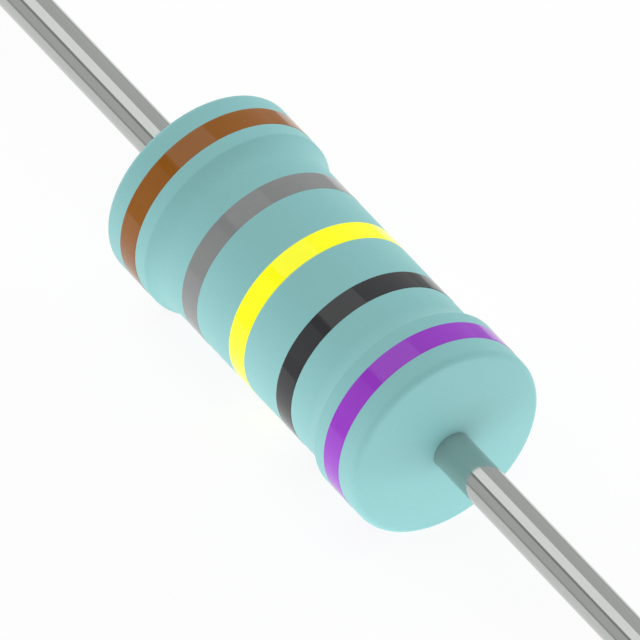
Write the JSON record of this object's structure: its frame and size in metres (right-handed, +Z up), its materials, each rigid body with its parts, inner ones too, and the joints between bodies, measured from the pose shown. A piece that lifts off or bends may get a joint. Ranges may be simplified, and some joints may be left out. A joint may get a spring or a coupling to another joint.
{
  "type": "axial resistor",
  "caption": "Leaded film resistor with a light blue-green dogbone body, ring-shaped colour code and straight bright wires on its axis.",
  "frame": {"origin": "middle of the coated body, on the axis of the wires", "axes": "+X along the axis, towards the end with the violet band; the part is turned about X, and +Z is up as it lies"},
  "size_m": [0.0626, 0.0032, 0.0032],
  "materials": {
    "lacquer": "satin dipped epoxy lacquer, light blue-green",
    "ink_brown": "glossy printed ring",
    "ink_grey": "glossy printed ring",
    "ink_yellow": "glossy printed ring",
    "ink_black": "glossy printed ring",
    "ink_violet": "glossy printed ring",
    "tinned_wire": "bright tinned copper, drawn",
    "cap_steel": "pressed and plated sheet",
    "film": "thin dark metal film",
    "alumina": "unglazed, ground"
  },
  "bodies": {
    "root": {"lacquer_coat": "lacquer", "band_1_brown": "ink_brown", "band_2_grey": "ink_grey", "band_3_yellow": "ink_yellow", "band_4_black": "ink_black", "band_5_violet": "ink_violet", "lead_wire_left": "tinned_wire", "lead_wire_right": "tinned_wire", "end_cap_left": "cap_steel", "end_cap_right": "cap_steel", "resistive_film": "film", "ceramic_rod": "alumina"}
  },
  "joints": []
}
